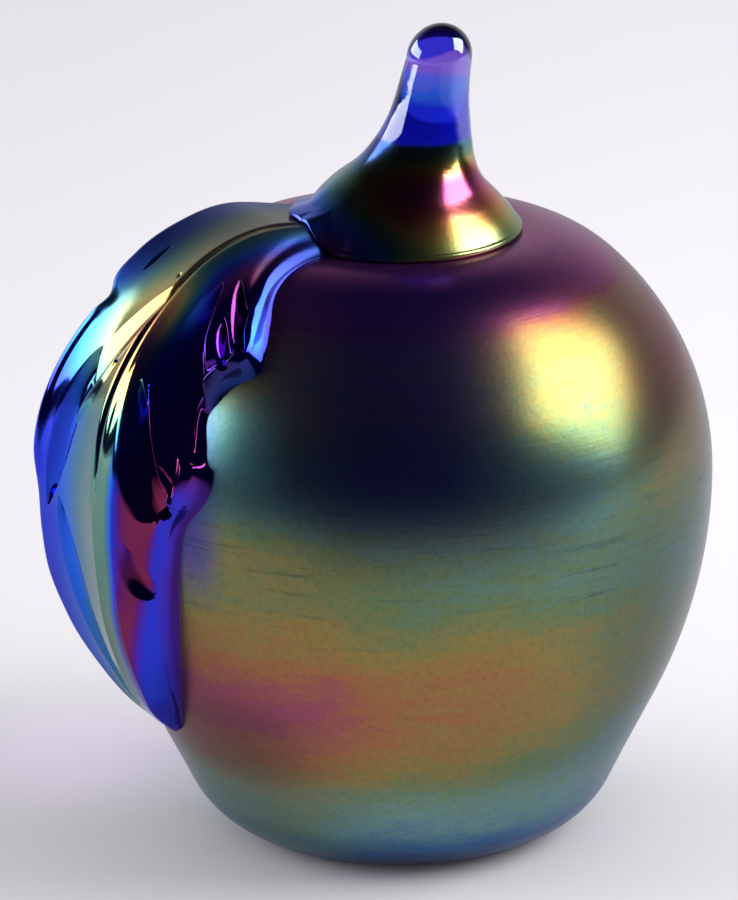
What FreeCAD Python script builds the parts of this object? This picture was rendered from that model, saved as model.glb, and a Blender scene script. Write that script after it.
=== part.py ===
import FreeCAD, Part
import Sketcher
import math
import os

# An art glass apple: a solid body gathered and blocked round, a pressed leaf laid over its
# shoulder while hot, and a drawn stem whose foot is laid on the crown and over the leaf's root.
# Millimetres, +Z up. The origin is the centre of the flat base that the apple rests on, and
# +Y points away from the side that the apple is usually looked at from.

doc = FreeCAD.newDocument("GlassApple")

# ---------------------------------------------------------------------------------------------
# Driving dimensions
# ---------------------------------------------------------------------------------------------

sheet = doc.addObject("Spreadsheet::Sheet", "Dimensions")
dimensions = [
    # the body, as a profile of tangent arcs from the base to the crown
    ("body_diameter", 84.0),      # widest, at the belly
    ("belly_height", 50.2),       # height of the widest ring
    ("body_height", 83.3),        # height of the flat crown
    ("heel_radius", 13.5),        # round between the base and the flank
    ("flank_angle", 26.4),        # taper of the flank from the vertical, degrees
    ("belly_radius", 69.0),       # profile below the widest ring
    ("crown_dip", 4.9),           # flat crown below the top that the shoulder's round would reach
    ("crown_radius", 18.8),       # round between the shoulder and the flat crown
    # the drawn stem, heights above the crown
    ("foot_radius", 16.3),
    ("foot_edge", 1.4),           # height of the foot's rounded edge
    ("flare_radius", 13.0),
    ("flare_height", 4.5),
    ("throat_radius", 8.0),
    ("throat_height", 9.4),
    ("neck_radius", 5.6),
    ("neck_height", 15.0),
    ("tip_radius", 4.3),
    ("stem_height", 28.3),
    ("stem_lean", 5.9),           # how far the tip is drawn to +X
    ("drape", 1.3),               # foot glass over the leaf's root
    # the leaf, stations measured over the body's surface from the middle of the crown
    ("leaf_azimuth", 212.5),      # the upright plane that holds the midrib, degrees from +X
    ("leaf_root", 9.0),
    ("leaf_tip", 94.0),
    ("midrib_root", 2.6),         # height of the midrib over the body at the root
    ("midrib_height", 6.4),       # and at its thickest
    ("midrib_tip", 1.2),          # and at the tip
    ("rim_lift", 3.6),            # height of the back rim over the midrib's foot
    ("rim_drop", 0.7),            # height of the front rim there
    ("rim_radius", 1.5),          # round of both rims
    ("undercut", 3.2),            # how far the back rim stands out past its seat
    ("wall_draft", 0.2),          # how far the front wall leans in under its rim
    ("crease_depth", 0.6),        # pressed line beside the midrib
    ("front_width", 15.9),        # midrib to rim at the first front lobe
    ("back_width", 20.0),         # midrib to rim at the second back lobe
    ("pocket_radius", 2.6),       # round end of the largest pressed vein
    ("pocket_depth", 1.7),        # depth of the pressed veins
    ("pocket_lift", 0.4),         # height of the veins' pointed ends over the leaf's face
    ("leaf_seat", 6.0),           # depth of the leaf's blank below the body's skin
]
for row, (alias, value) in enumerate(dimensions, start=1):
    sheet.set(f"A{row}", alias)
    sheet.set(f"B{row}", str(value))
    sheet.setAlias(f"B{row}", alias)
doc.recompute()


def size(alias):
    return float(getattr(sheet, alias))


def bound(alias):
    return f"{sheet.Name}.{alias}"


def origin_plane(body, role):
    return next(f for f in body.Origin.OriginFeatures if f.Role == role)


def new_sketch(body, name, role):
    sketch = body.newObject("Sketcher::SketchObject", name)
    sketch.AttachmentSupport = [(origin_plane(body, role), "")]
    sketch.MapMode = "FlatFace"
    return sketch


def vec(x, y, z=0.0):
    return FreeCAD.Vector(x, y, z)


# ---------------------------------------------------------------------------------------------
# The body's profile, from its dimensions
# ---------------------------------------------------------------------------------------------

class Arc:
    """A round stretch of the profile, between two directions seen from its centre."""

    def __init__(self, centre, radius, start, end):
        self.centre, self.radius, self.start, self.end = centre, radius, start, end
        self.length = radius * abs(end - start)

    def at(self, distance):
        """Point and outward normal, a distance down from the arc's upper end."""
        angle = self.end - distance / self.radius
        out = (math.cos(angle), math.sin(angle))
        return (self.centre[0] + self.radius * out[0],
                self.centre[1] + self.radius * out[1]), out


class Straight:
    """A straight stretch of the profile, from its upper end to its lower end."""

    def __init__(self, upper, lower):
        self.upper, self.lower = upper, lower
        self.length = math.dist(upper, lower)

    def at(self, distance):
        along = ((self.lower[0] - self.upper[0]) / self.length,
                 (self.lower[1] - self.upper[1]) / self.length)
        return (self.upper[0] + along[0] * distance,
                self.upper[1] + along[1] * distance), (-along[1], along[0])


widest = size("body_diameter") / 2
belly_z = size("belly_height")
crown_z = size("body_height")
taper = math.radians(size("flank_angle"))

belly_centre = (widest - size("belly_radius"), belly_z)
flank_top = (belly_centre[0] + size("belly_radius") * math.cos(taper),
             belly_z - size("belly_radius") * math.sin(taper))
heel = size("heel_radius")
heel_centre = (flank_top[0] - (heel - (heel - flank_top[1]) * math.sin(taper)) / math.cos(taper),
               heel)
flank_foot = (heel_centre[0] + heel * math.cos(taper), heel - heel * math.sin(taper))

shoulder = crown_z - belly_z + size("crown_dip")
shoulder_centre = (widest - shoulder, belly_z)
crown_round = size("crown_radius")
rise = crown_z - crown_round - belly_z
reach = math.sqrt((shoulder - crown_round) ** 2 - rise ** 2)
crown_centre = (shoulder_centre[0] + reach, crown_z - crown_round)
shoulder_end = math.atan2(rise, reach)

# from the middle of the crown down to the middle of the base
meridian = [
    Straight((0.0, crown_z), (crown_centre[0], crown_z)),
    Arc(crown_centre, crown_round, shoulder_end, math.pi / 2),
    Arc(shoulder_centre, shoulder, 0.0, shoulder_end),
    Arc(belly_centre, size("belly_radius"), -taper, 0.0),
    Straight(flank_top, flank_foot),
    Arc(heel_centre, heel, -math.pi / 2, -taper),
    Straight((heel_centre[0], 0.0), (0.0, 0.0)),
]


def on_meridian(station):
    """Point (radius, height) and outward normal, a distance over the skin from the crown."""
    for stretch in meridian:
        if station <= stretch.length:
            return stretch.at(station)
        station -= stretch.length
    return meridian[-1].at(meridian[-1].length)


# ---------------------------------------------------------------------------------------------
# The body: one profile turned about the upright axis
# ---------------------------------------------------------------------------------------------

apple = doc.addObject("PartDesign::Body", "Apple")
apple.Label = "apple_body"
profile = new_sketch(apple, "AppleProfile", "XZ_Plane")


def add_arc(arc):
    circle = Part.Circle(vec(*arc.centre), vec(0, 0, 1), arc.radius)
    return profile.addGeometry(Part.ArcOfCircle(circle, arc.start, arc.end), False)


def add_line(start, end):
    return profile.addGeometry(Part.LineSegment(vec(*start), vec(*end)), False)


START, END, CENTRE = range(1, 4)
X_AXIS, Y_AXIS = range(-1, -3, -1)
ROOT_POINT = (X_AXIS, START)
base_line = add_line((0, 0), (heel_centre[0], 0))
heel_arc = add_arc(meridian[5])
flank_line = add_line(flank_foot, flank_top)
belly_arc = add_arc(meridian[3])
shoulder_arc = add_arc(meridian[2])
crown_arc = add_arc(meridian[1])
crown_line = add_line((crown_centre[0], crown_z), (0, crown_z))
axis_line = add_line((0, crown_z), (0, 0))

outline = [base_line, heel_arc, flank_line, belly_arc, shoulder_arc, crown_arc, crown_line]
for lower, upper in zip(outline, outline[1:]):
    profile.addConstraint(Sketcher.Constraint("Tangent", lower, END, upper, START))
profile.addConstraint(Sketcher.Constraint("Coincident", crown_line, END, axis_line, START))
profile.addConstraint(Sketcher.Constraint("Coincident", axis_line, END, base_line, START))
profile.addConstraint(Sketcher.Constraint("Coincident", base_line, START, *ROOT_POINT))
profile.addConstraint(Sketcher.Constraint("Horizontal", base_line))
profile.addConstraint(Sketcher.Constraint("Horizontal", crown_line))
profile.addConstraint(Sketcher.Constraint("Vertical", axis_line))


def driven(kind, *where, value, expression):
    """A dimension of the profile that is bound to its cells."""
    index = profile.addConstraint(Sketcher.Constraint(kind, *where, value))
    profile.setExpression(f"Constraints[{index}]", expression)


for arc, alias in ((heel_arc, "heel_radius"), (belly_arc, "belly_radius"),
                   (crown_arc, "crown_radius")):
    driven("Radius", arc, value=size(alias), expression=bound(alias))
driven("Radius", shoulder_arc, value=shoulder,
       expression=f"{bound('body_height')} - {bound('belly_height')} + {bound('crown_dip')}")
driven("DistanceY", *ROOT_POINT, belly_arc, END, value=belly_z, expression=bound("belly_height"))
driven("DistanceY", *ROOT_POINT, crown_line, END, value=crown_z, expression=bound("body_height"))
driven("DistanceX", *ROOT_POINT, belly_arc, END, value=widest,
       expression=bound("body_diameter") + " / 2")
driven("Angle", Y_AXIS, START, flank_line, START, value=-taper,
       expression=bound("flank_angle") + " * -1 deg")
# the belly and shoulder arcs meet where both run upright
profile.addConstraint(Sketcher.Constraint("Horizontal", belly_arc, CENTRE, belly_arc, END))

turned = apple.newObject("PartDesign::Revolution", "AppleTurned")
turned.Profile = profile
turned.ReferenceAxis = (profile, ["V_Axis"])
turned.Angle = 360.0
apple.Tip = turned
doc.recompute()

# ---------------------------------------------------------------------------------------------
# The leaf: planar sections square to the midrib's foot, lofted from the root to the tip
# ---------------------------------------------------------------------------------------------

azimuth = math.radians(size("leaf_azimuth"))
outward = vec(math.cos(azimuth), math.sin(azimuth))
across = vec(-math.sin(azimuth), math.cos(azimuth))
upright = vec(0, 0, 1)

root = size("leaf_root")
tip = size("leaf_tip")


def smooth(start, end, value):
    """0 before start, 1 after end, and a smooth turn between them."""
    t = min(max((value - start) / (end - start), 0.0), 1.0)
    return t * t * (3 - 2 * t)


def through(turns, station):
    """A smooth line that turns at each of the given (station, width) points."""
    value = turns[0][1]
    for (s0, w0), (s1, w1) in zip(turns, turns[1:]):
        value += (w1 - w0) * smooth(s0, s1, station)
    return value


def to_tip(start, station, power):
    """1 up to the start, falling faster and faster to 0 at the leaf's tip."""
    t = min(max((station - start) / (tip - start), 0.0), 1.0)
    return 1 - t ** power


# where each lobe is widest and each notch narrowest, as shares of the leaf's length, with
# the widths as shares of the widest lobe on that side
front_turns = [(0.00, 0.26), (0.15, 0.47), (0.322, 1.00), (0.405, 0.69), (0.52, 0.90),
               (0.64, 0.62), (0.69, 0.62)]
back_turns = [(0.00, 0.52), (0.282, 0.84), (0.327, 0.70), (0.376, 0.86), (0.535, 1.00),
              (0.635, 0.915), (0.69, 0.935)]
last_lobe = root + 0.69 * (tip - root)


def along(share):
    return root + share * (tip - root)


def front_half(station):
    turns = [(along(share), width * size("front_width")) for share, width in front_turns]
    return through(turns, station) * to_tip(last_lobe, station, 2) + size("midrib_tip") / 2


def back_half(station):
    turns = [(along(share), width * size("back_width")) for share, width in back_turns]
    return through(turns, station) * to_tip(last_lobe, station, 2) + size("midrib_tip") / 2


def midrib(station):
    """Height of the midrib over its foot on the body."""
    grown = (size("midrib_root")
             + (size("midrib_height") - size("midrib_root")) * smooth(root, along(0.46), station))
    end = size("midrib_tip")
    return end + (grown - end) * to_tip(along(0.65), station, 3)


def front_rim(station):
    low = size("rim_drop") * (1 + 1.8 * smooth(along(0.62), along(0.78), station))
    return low * to_tip(along(0.8), station, 3)


def back_rim(station):
    end = size("midrib_tip") * 0.8
    return end + (size("rim_lift") - end) * to_tip(along(0.8), station, 3)


def ridge(station):
    """Where the outer face turns into the steep front flank, from the midrib."""
    share = 0.22 + 0.35 * smooth(along(0.35), along(0.72), station)
    return share * front_half(station)


def place(station, x, y):
    """A point of the section at a station: x across the leaf, y out from the body's skin."""
    (radius, height), (out, up) = on_meridian(station)
    foot = outward * radius + upright * height
    return foot + across * x + (outward * out + upright * up) * y


def section(station, grow=0.0):
    """The closed outline of the leaf at a station, optionally grown for the draped foot."""
    front, back = front_half(station) + grow, back_half(station) + grow
    top, low, lift = midrib(station) + grow, front_rim(station) + grow, back_rim(station) + grow
    corner = ridge(station)
    edge = min(size("rim_radius"), 0.22 * front, 0.45 * lift)
    crease = size("crease_depth") * smooth(along(0.1), along(0.25), station)
    crease *= 1 - smooth(along(0.5), along(0.6), station)
    inner = size("undercut") * smooth(along(0.1), along(0.3), station) * back / size("back_width")
    seat = -size("leaf_seat")

    back_foot, front_foot = (-back + inner, seat), (front - size("wall_draft"), seat)
    back_face = [
        (-back + 0.5 * edge, lift - 1.9 * edge),
        (-back, lift - edge),
        (-back + edge, lift),
        (-0.45 * back, 0.5 * (lift + top) - 0.06 * top),
        (-0.12 * back, top - 0.03 * top),
        (0.0, top - crease),
    ]
    front_face = [
        (0.0, top - crease),
        (0.45 * corner, top),
        (corner, top - 0.06 * top),
        (0.5 * (corner + front), 0.55 * top + 0.45 * low),
        (front - 0.7 * edge, low + 0.6 * edge),
        (front, low - 0.5 * edge),
    ]
    walls = [(back_foot, back_face[0]), (front_face[-1], front_foot), (front_foot, back_foot)]
    edges = [Part.LineSegment(place(station, *a), place(station, *b)).toShape() for a, b in walls]
    for face in (back_face, front_face):
        curve = Part.BSplineCurve()
        points = [place(station, x, y) for x, y in face]
        curve.interpolate(Points=points, Parameters=[n / (len(face) - 1) for n in range(len(face))])
        edges.append(curve.toShape())
    back_wall, front_wall, bottom, back_curve, front_curve = edges
    return Part.Wire([back_wall, back_curve, front_curve, front_wall, bottom])


def leaf_loft(stations, grow=0.0):
    return Part.makeLoft([section(station, grow) for station in stations], True, False)


leaf_stations = [along(n / 21) for n in range(21)] + [along(0.985), tip]
leaf_blank = doc.addObject("Part::Feature", "LeafBlank")
leaf_blank.Shape = leaf_loft(leaf_stations)


# ---------------------------------------------------------------------------------------------
# The pressed veins: each is dug by a cone that is tangent to a ball, pointed at the midrib
# ---------------------------------------------------------------------------------------------

def face_height(station, x):
    """Height of the leaf's outer face, near enough to set the vein tools by."""
    top, corner = midrib(station), ridge(station)
    if x < 0:
        return top + (back_rim(station) - top) * min(-x / back_half(station), 1.0)
    fall = max(x - corner, 0.0) / (front_half(station) - corner)
    return top + (front_rim(station) - top) * min(fall, 1.0)


def vein_tool(start, end, ball_share):
    """A teardrop from start to end, both (share of length, share of half width)."""
    ball = size("pocket_radius") * ball_share
    rise_out = ball - size("pocket_depth") * min(ball_share, 1.0)
    ends = []
    for (share, width), lift in ((start, size("pocket_lift")), (end, rise_out)):
        station = along(share)
        half = front_half(station) if width > 0 else back_half(station)
        x = width * half
        ends.append(place(station, x, face_height(station, x) + lift))
    apex, centre = ends
    length = (centre - apex).Length
    lean = math.asin(ball / length)
    touch = (length - ball * math.sin(lean), ball * math.cos(lean))
    cone = Part.LineSegment(vec(0, 0), vec(*touch)).toShape()
    top_of_ball = vec(length + ball * math.cos(lean / 2), ball * math.sin(lean / 2))
    cap = Part.Arc(vec(*touch), top_of_ball, vec(length + ball, 0)).toShape()
    axis = Part.LineSegment(vec(length + ball, 0), vec(0, 0)).toShape()
    teardrop = Part.Face(Part.Wire([cone, cap, axis])).revolve(vec(0, 0), vec(1, 0), 360)
    teardrop.Placement = FreeCAD.Placement(apex, FreeCAD.Rotation(vec(1, 0), centre - apex))
    return teardrop


# (start, end, ball), the first four on the front half and the last two on the back half
veins = [
    ((0.220, 0.62), (0.335, 0.76), 0.62),
    ((0.305, 0.48), (0.475, 0.80), 1.00),
    ((0.410, 0.42), (0.570, 0.74), 1.00),
    ((0.625, 0.58), (0.705, 0.80), 0.50),
    ((0.260, -0.14), (0.430, -0.52), 1.45),
    ((0.420, -0.30), (0.590, -0.62), 1.35),
]
pressed = leaf_blank
for number, vein in enumerate(veins, start=1):
    tool = doc.addObject("Part::Feature", f"VeinTool{number}")
    tool.Shape = vein_tool(*vein)
    cut = doc.addObject("Part::Cut", f"LeafPressed{number}")
    cut.Base, cut.Tool = pressed, tool
    pressed = cut

leaf = doc.addObject("Part::Cut", "Leaf")
leaf.Base = pressed
leaf.Tool = apple
leaf.Label = "leaf"

# ---------------------------------------------------------------------------------------------
# The stem: round sections lofted from the foot to the tip, each shifted by the lean
# ---------------------------------------------------------------------------------------------

stem_blank = doc.addObject("PartDesign::Body", "StemBlank")
lean = bound("stem_lean")
# name of the section, height over the crown, radius, share of the lean
rounds = [
    ("FootUnder", "-0.5 * " + bound("foot_edge"), bound("foot_radius"), 0.0),
    ("FootEdge", "0.6 * " + bound("foot_edge"), "0.985 * " + bound("foot_radius"), 0.0),
    ("Flare", bound("flare_height"), bound("flare_radius"), 0.0),
    ("Throat", bound("throat_height"), bound("throat_radius"), 0.42),
    ("Neck", bound("neck_height"), bound("neck_radius"), 0.68),
    ("Upper", f"({bound('neck_height')} + {bound('stem_height')} - {bound('tip_radius')}) / 2",
     f"({bound('neck_radius')} * 0.3 + {bound('tip_radius')} * 0.7)", 0.86),
    ("Tip", f"{bound('stem_height')} - {bound('tip_radius')}", bound("tip_radius"), 1.0),
]
# the drawn end is fire-polished: rings on a quarter circle, closed by a last small one
for turn in (30, 55, 75, 85):
    rise, shrink = math.sin(math.radians(turn)), math.cos(math.radians(turn))
    height = f"{bound('stem_height')} - {bound('tip_radius')} * {1 - rise:.4f}"
    rounds.append((f"Tip{turn}", height, f"{bound('tip_radius')} * {shrink:.4f}", 1.0))
sketches = []
for name, height, radius, share in rounds:
    ring = new_sketch(stem_blank, "Stem" + name, "XY_Plane")
    ring.setExpression("AttachmentOffset.Base.z", f"{bound('body_height')} + ({height})")
    ring.setExpression("AttachmentOffset.Base.x", f"{lean} * {share}")
    circle = ring.addGeometry(Part.Circle(vec(0, 0), vec(0, 0, 1), size("tip_radius")), False)
    ring.addConstraint(Sketcher.Constraint("Coincident", circle, CENTRE, *ROOT_POINT))
    index = ring.addConstraint(Sketcher.Constraint("Radius", circle, size("tip_radius")))
    ring.setExpression(f"Constraints[{index}]", radius)
    sketches.append(ring)
drawn = stem_blank.newObject("PartDesign::AdditiveLoft", "StemDrawn")
drawn.Profile = sketches[0]
drawn.Sections = sketches[1:]
drawn.Ruled = False
stem_blank.Tip = drawn

# the foot's glass drapes over the leaf's root, as far as the foot reaches
drape_stations = [along(share) for share in (0.0, 0.03, 0.06, 0.09, 0.12)]
grown_root = doc.addObject("Part::Feature", "LeafRootGrown")
grown_root.Shape = leaf_loft(drape_stations, size("drape"))
reach_of_foot = doc.addObject("Part::Cone", "FootReach")
reach_of_foot.setExpression("Radius1", bound("foot_radius"))
reach_of_foot.setExpression("Radius2", f"{bound('foot_radius')} * 0.8")
reach_of_foot.setExpression("Height", f"{bound('midrib_root')} * 3")
reach_of_foot.setExpression("Placement.Base.z", bound("body_height"))
draped = doc.addObject("Part::Common", "FootDrape")
draped.Base = grown_root
draped.Tool = reach_of_foot

stem_whole = doc.addObject("Part::MultiFuse", "StemWhole")
stem_whole.Shapes = [stem_blank, draped]
stem_on_apple = doc.addObject("Part::Cut", "StemOnApple")
stem_on_apple.Base = stem_whole
stem_on_apple.Tool = apple
stem = doc.addObject("Part::Cut", "Stem")
stem.Base = stem_on_apple
stem.Tool = leaf
stem.Label = "stem"
doc.recompute()

# ---------------------------------------------------------------------------------------------
# Every object is sound before anything is written
# ---------------------------------------------------------------------------------------------

for item in doc.Objects:
    assert not {"Invalid", "Error"} & set(item.State), f"{item.Name} failed"
pieces = [apple, leaf, stem]
for piece in pieces:
    shape = piece.Shape
    assert not shape.isNull() and shape.isValid(), f"{piece.Label} is not sound"
    assert len(shape.Solids) == 1, f"{piece.Label} has {len(shape.Solids)} solids"

os.makedirs("parts", exist_ok=True)
for piece in pieces:
    piece.Shape.exportStep(f"parts/{piece.Label}.step")
    box = piece.Shape.BoundBox
    print(f"{piece.Label}: {piece.Shape.Volume / 1000:.1f} cm3, "
          f"z {box.ZMin:.2f} to {box.ZMax:.2f}, x {box.XMin:.2f} to {box.XMax:.2f}")
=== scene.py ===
# %% [markdown]
# # A glass apple with a pressed leaf
#
# The real object is three gathers of hot glass that were joined while they were soft: a solid
# apple of dark cobalt glass, a leaf that was pressed with a tool and laid over its shoulder,
# and a stem that was drawn out from a blob on the crown. A metal vapour then left a film on
# the glass that is thinner than a hair's hundredth. The film splits light into bands of
# colour, like oil on water: satin on the body and on the stem's foot, glossy on the leaf.
#
# The lesson builds the three pieces as fine, closed meshes, gives each its film, and lights
# them as a small product studio would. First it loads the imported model, which fixes the sizes.

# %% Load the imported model
import bpy
import math
import numpy as np
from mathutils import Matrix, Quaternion, Vector


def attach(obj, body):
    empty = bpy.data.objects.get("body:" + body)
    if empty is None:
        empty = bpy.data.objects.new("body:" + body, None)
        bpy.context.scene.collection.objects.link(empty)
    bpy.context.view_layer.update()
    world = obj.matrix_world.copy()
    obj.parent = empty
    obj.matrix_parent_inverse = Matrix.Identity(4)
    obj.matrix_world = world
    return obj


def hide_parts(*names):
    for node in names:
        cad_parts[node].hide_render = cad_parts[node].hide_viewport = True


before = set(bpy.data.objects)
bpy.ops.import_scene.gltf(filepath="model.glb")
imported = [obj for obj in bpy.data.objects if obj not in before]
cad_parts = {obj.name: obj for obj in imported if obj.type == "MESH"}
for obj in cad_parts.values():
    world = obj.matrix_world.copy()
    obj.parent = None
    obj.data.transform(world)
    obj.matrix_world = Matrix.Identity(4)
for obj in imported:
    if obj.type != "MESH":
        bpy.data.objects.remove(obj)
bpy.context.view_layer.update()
MM = 0.001

# %% [markdown]
# ## The camera
#
# The picture was taken with a long lens from about a metre away, a little above the apple.
# A long lens keeps the outline nearly free of perspective, so the distance hardly shows and
# the focal length only sets the size. The camera has a roll of a third of a degree.

# %% Camera
PICTURE_HEIGHT = 900
FOCAL_PIXELS = 7414
SENSOR = 36.0
CAMERA_PLACE = Vector((0.0, -943.7, 370.7)) * MM
CAMERA_AIM = Vector((-4.1, 0.0, 52.2)) * MM
CAMERA_ROLL = math.radians(-0.37)

camera = bpy.data.objects.new("studio_camera", bpy.data.cameras.new("studio_camera"))
bpy.context.scene.collection.objects.link(camera)
camera.data.sensor_width = SENSOR
camera.data.lens = FOCAL_PIXELS * SENSOR / PICTURE_HEIGHT
camera.location = CAMERA_PLACE
camera.rotation_mode = "QUATERNION"
facing = (CAMERA_AIM - CAMERA_PLACE).to_track_quat("-Z", "Y")
camera.rotation_quaternion = facing @ Quaternion((0, 0, 1), CAMERA_ROLL)
bpy.context.scene.camera = camera
bpy.context.scene.view_settings.view_transform = "Standard"
print("lens:", round(camera.data.lens, 1), "mm")

# %% [markdown]
# ## The apple's profile
#
# A blown or gathered body is round because it is turned all the time, and its side view is a
# chain of arcs that run smoothly into each other. The chain is written here as it is in the
# construction: a flat crown, a round, the shoulder, the belly, a straight flank and a heel.
# Each point keeps its outward direction, because the leaf is laid out over this skin.

# %% Profile of the body, millimetres
BODY_RADIUS, BELLY_HEIGHT, CROWN_HEIGHT = 42.0, 50.2, 83.3
HEEL, BELLY, SHOULDER, CROWN_ROUND = 13.5, 69.0, 38.0, 18.8
TAPER = math.radians(26.4)


def arc(centre, radius, start, end, count=160):
    """Points and outward directions of an arc, from one angle to another."""
    angle = np.linspace(start, end, count)
    out = np.stack([np.cos(angle), np.sin(angle)], 1)
    return np.array(centre) + radius * out, out


belly_centre = (BODY_RADIUS - BELLY, BELLY_HEIGHT)
shoulder_centre = (BODY_RADIUS - SHOULDER, BELLY_HEIGHT)
rise = CROWN_HEIGHT - CROWN_ROUND - BELLY_HEIGHT
reach = math.sqrt((SHOULDER - CROWN_ROUND) ** 2 - rise ** 2)
crown_centre = (shoulder_centre[0] + reach, CROWN_HEIGHT - CROWN_ROUND)
shoulder_end = math.atan2(rise, reach)
flank_top = (belly_centre[0] + BELLY * math.cos(TAPER), BELLY_HEIGHT - BELLY * math.sin(TAPER))
heel_inset = (HEEL - (HEEL - flank_top[1]) * math.sin(TAPER)) / math.cos(TAPER)
heel_centre = (flank_top[0] - heel_inset, HEEL)

stretches = [
    (np.array([[0.0, CROWN_HEIGHT]]), np.array([[0.0, 1.0]])),
    arc(crown_centre, CROWN_ROUND, math.pi / 2, shoulder_end),
    arc(shoulder_centre, SHOULDER, shoulder_end, 0.0),
    arc(belly_centre, BELLY, 0.0, -TAPER),
    arc(heel_centre, HEEL, -TAPER, -math.pi / 2),
    (np.array([[0.0, 0.0]]), np.array([[0.0, -1.0]])),
]
skin_points = np.concatenate([points for points, out in stretches])
skin_out = np.concatenate([out for points, out in stretches])
steps = np.linalg.norm(np.diff(skin_points, axis=0), axis=1)
skin_length = np.concatenate([[0.0], np.cumsum(steps)])


def on_skin(station):
    """Radius, height and outward direction, a distance over the skin from the crown."""
    columns = [skin_points[:, 0], skin_points[:, 1], skin_out[:, 0], skin_out[:, 1]]
    return [np.interp(station, skin_length, column) for column in columns]


def above_skin(radius, height):
    """Distance outside the body: a convex body lies behind all its tangent planes."""
    far = np.full(np.shape(radius), -1e9)
    for (r, z), (out_r, out_z) in zip(skin_points[::3], skin_out[::3]):
        far = np.maximum(far, (radius - r) * out_r + (height - z) * out_z)
    return far


print("over the skin from crown to base:", round(float(skin_length[-1]), 1), "mm")

# %% [markdown]
# ## One way to close a mesh
#
# All three pieces are rings joined into a skin: level rings for the body and the stem, and
# upright sections for the leaf. One helper joins the rings and closes both ends on a point,
# so each piece is a closed solid. It also hangs the piece on the model and hides the imported
# part that it replaces.

# %% Mesh helper


def make_piece(name, node, rings, marks=None):
    """A closed piece from rings of points in millimetres, as an array (ring, place, xyz)."""
    count, around = rings.shape[:2]
    ends = np.stack([rings[0].mean(0), rings[-1].mean(0)])
    points = np.concatenate([rings.reshape(-1, 3), ends]) * MM
    here = np.arange(around)
    after = np.roll(here, -1)
    faces = []
    for ring in range(count - 1):
        low, high = ring * around, (ring + 1) * around
        faces += np.stack([low + here, low + after, high + after, high + here], 1).tolist()
    first, last = count * around, count * around + 1
    tail = (count - 1) * around
    faces += np.stack([after, here, np.full(around, first)], 1).tolist()
    faces += np.stack([tail + here, tail + after, np.full(around, last)], 1).tolist()
    mesh = bpy.data.meshes.new(name)
    mesh.from_pydata(points.tolist(), [], faces)
    for mark, values in (marks or {}).items():
        whole = np.concatenate([values.reshape(-1), [values[0].mean(), values[-1].mean()]])
        layer = mesh.attributes.new(mark, "FLOAT", "POINT")
        layer.data.foreach_set("value", whole.astype(np.float32))
    mesh.shade_smooth()
    piece = bpy.data.objects.new(name, mesh)
    bpy.context.scene.collection.objects.link(piece)
    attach(piece, "root")
    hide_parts(node)
    print(f"{name}: {len(points)} points, {len(faces)} faces")
    return piece


def smooth(start, end, value):
    """0 before start, 1 after end, and a smooth turn between them."""
    t = np.clip((value - start) / (end - start), 0.0, 1.0)
    return t * t * (3 - 2 * t)


def through(points, where):
    """A smooth line through (place, value) points, read at the places asked for."""
    place, value = np.array(points, float).T
    slope = np.gradient(value, place)
    index = np.clip(np.searchsorted(place, where) - 1, 0, len(place) - 2)
    span = place[index + 1] - place[index]
    t = np.clip((where - place[index]) / span, 0.0, 1.0)
    keep, turn = (1 + 2 * t) * (1 - t) ** 2, t * (1 - t) ** 2
    return (keep * value[index] + (1 - keep) * value[index + 1]
            + span * (turn * slope[index] - t * t * (1 - t) * slope[index + 1]))


print("smooth(0, 1, 0.5) =", smooth(0, 1, 0.5))

# %% [markdown]
# ## The body
#
# The profile is turned about the upright axis. No hand-made body is perfectly round: the
# gather is a tenth of a millimetre out here and there, which is enough to bend a highlight
# a little, so the rings swell and shrink by that much in long slow waves.

# %% Body mesh
BODY_SEGMENTS = 320
BODY_RINGS = 240
HAND_WAVE = 0.09

ring_station = np.linspace(0.35, skin_length[-1] - 0.35, BODY_RINGS)[:, None]
turn = np.linspace(0, 2 * math.pi, BODY_SEGMENTS, endpoint=False)[None, :]
radius, height, out_r, out_z = on_skin(ring_station)
three_waves = np.sin(3 * turn + ring_station / 17)
two_waves = np.sin(2 * turn - ring_station / 11 + 2)
wave = HAND_WAVE * (three_waves + two_waves)
wave = wave * smooth(22, 45, ring_station) * smooth(0, 12, height)
body_rings = np.stack([
    (radius + wave * out_r) * np.cos(turn),
    (radius + wave * out_r) * np.sin(turn),
    height + wave * out_z + 0 * turn,
], 2)[::-1]
body = make_piece("iridescent_apple", "apple_body", body_rings)

# %% [markdown]
# ## The leaf's outline
#
# The leaf is drawn on the body's skin: a station says how far down from the crown, and a
# second number how far to either side of the midrib, positive towards the viewer. Its edge
# swells into lobes and draws in at notches, as the tool left it. The heights of the midrib,
# the ridge and the two rims are lines of their own along the stations.

# %% Lines of the leaf: (station, millimetres)
LEAF_AZIMUTH = math.radians(212.5)
LEAF_ROOT, LEAF_TIP = 9.0, 94.0

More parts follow.
